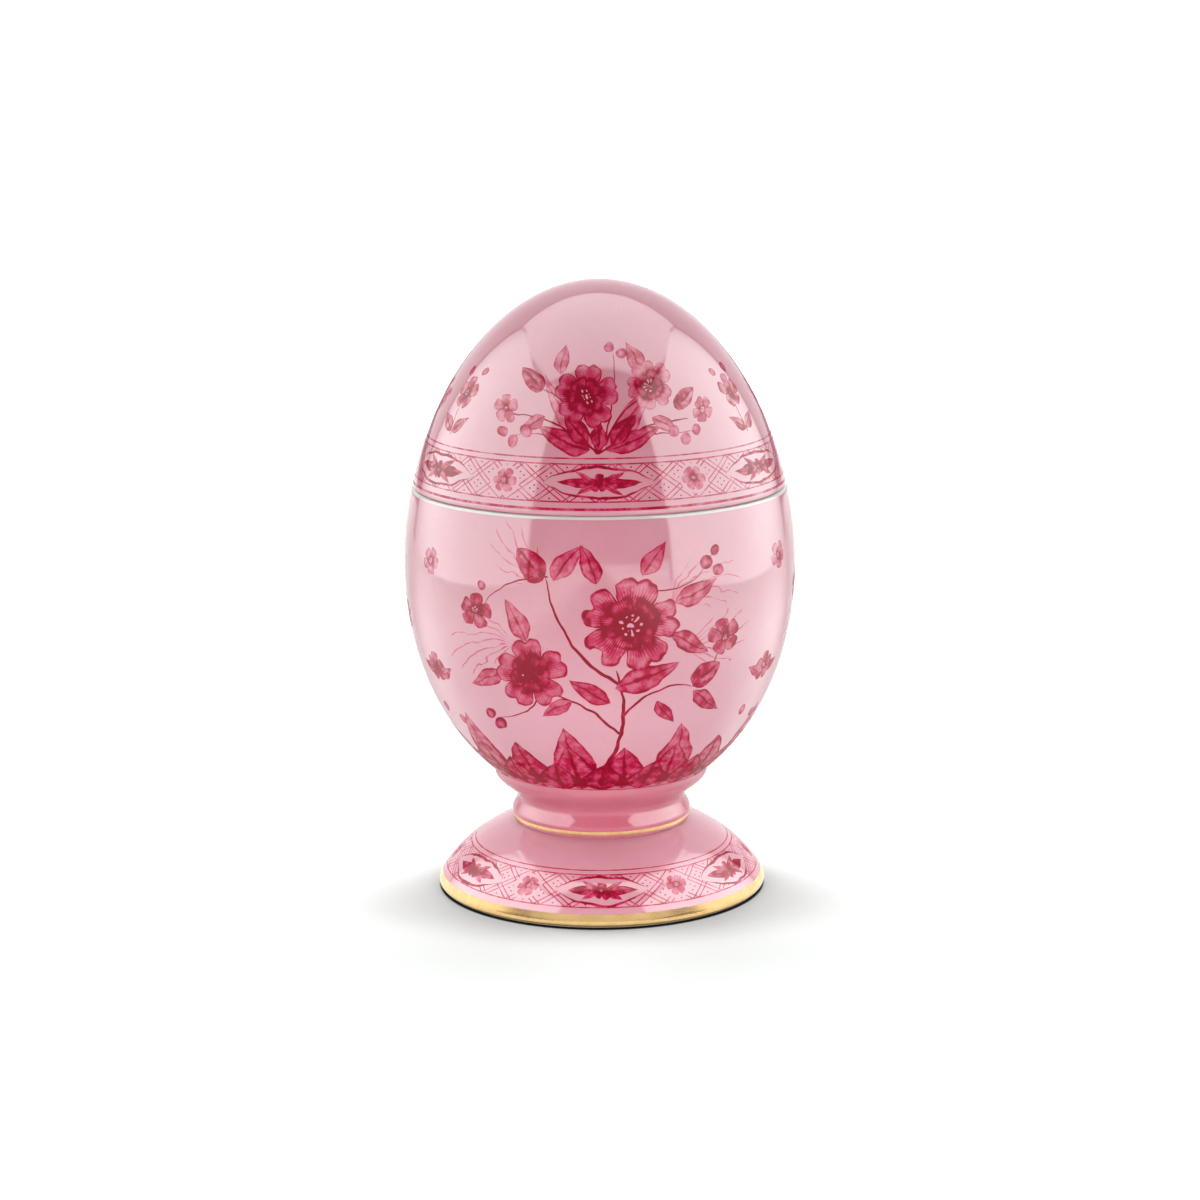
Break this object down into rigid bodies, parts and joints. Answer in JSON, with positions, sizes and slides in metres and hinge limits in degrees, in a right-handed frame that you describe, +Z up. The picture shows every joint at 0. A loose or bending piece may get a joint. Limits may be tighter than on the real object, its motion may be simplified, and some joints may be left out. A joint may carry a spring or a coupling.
{
  "type": "porcelain egg box",
  "caption": "Egg-shaped porcelain box on a flared hollow foot. The domed lid lifts off the bowl. Pink glaze with painted flower sprays and lattice bands, gilded line and rim.",
  "frame": {"origin": "on the table, at the centre of the foot's standing ring", "axes": "+Z up along the egg's axis; the picture looks along +Y with +X to the right"},
  "size_m": [0.1146, 0.1146, 0.18],
  "materials": {
    "porcelain": "glossy pink glaze with carmine painting under it, white at the lip and the standing ring",
    "gilding": "burnished gold, fired on"
  },
  "bodies": {
    "base": {"bowl": "porcelain", "foot": "porcelain", "spool_gilt_line": "gilding", "foot_gilt_rim": "gilding"},
    "lid": {"lid": "porcelain"}
  },
  "joints": [
    {"name": "lid_lift", "type": "slide", "parent": "base", "child": "lid", "axis": [0, 0, 1], "range_m": [0, 0.08]}
  ]
}
